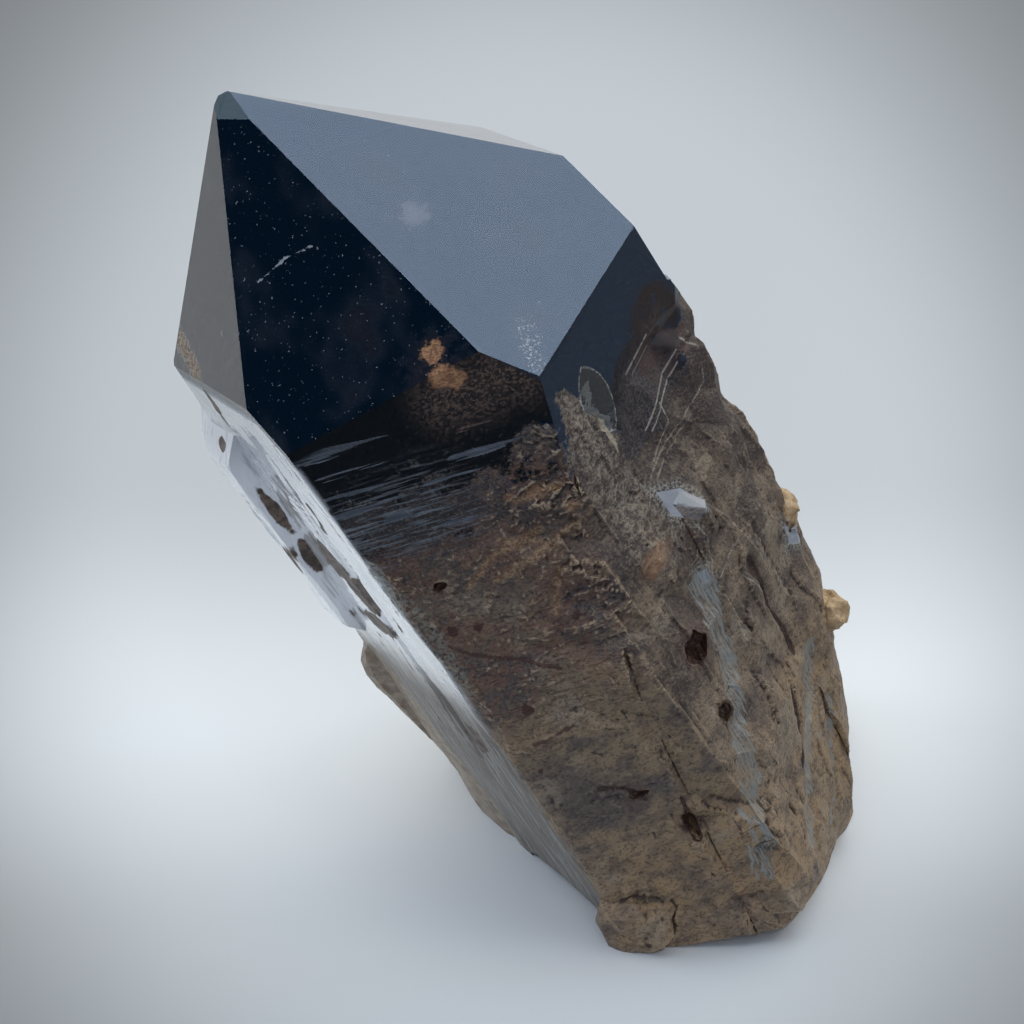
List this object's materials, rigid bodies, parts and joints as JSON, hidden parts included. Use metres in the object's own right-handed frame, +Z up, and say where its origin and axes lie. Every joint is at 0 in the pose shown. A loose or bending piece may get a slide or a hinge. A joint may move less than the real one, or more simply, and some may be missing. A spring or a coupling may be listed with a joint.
{
  "type": "smoky quartz cluster",
  "caption": "Leaning smoky quartz point with mirror-flat pyramid faces, crusted flanks with side crystals grown in, tan feldspar grains and a broken root cut flat to stand on.",
  "frame": {"origin": "middle of the bounding box's bottom, on the surface it stands on", "axes": "+Z up. The picture looks along +Y and down, with +X to its right, and the point leans towards -X"},
  "size_m": [0.0948, 0.0792, 0.1122],
  "materials": {
    "smoky_quartz": "glassy, nearly black smoky quartz, see-through only at thin edges, with a rough brown crust on its flanks",
    "feldspar": "matte tan feldspar"
  },
  "bodies": {
    "root": {"smoky_quartz_crystal": "smoky_quartz", "feldspar_nub": "feldspar", "feldspar_grain": "feldspar"}
  },
  "joints": []
}
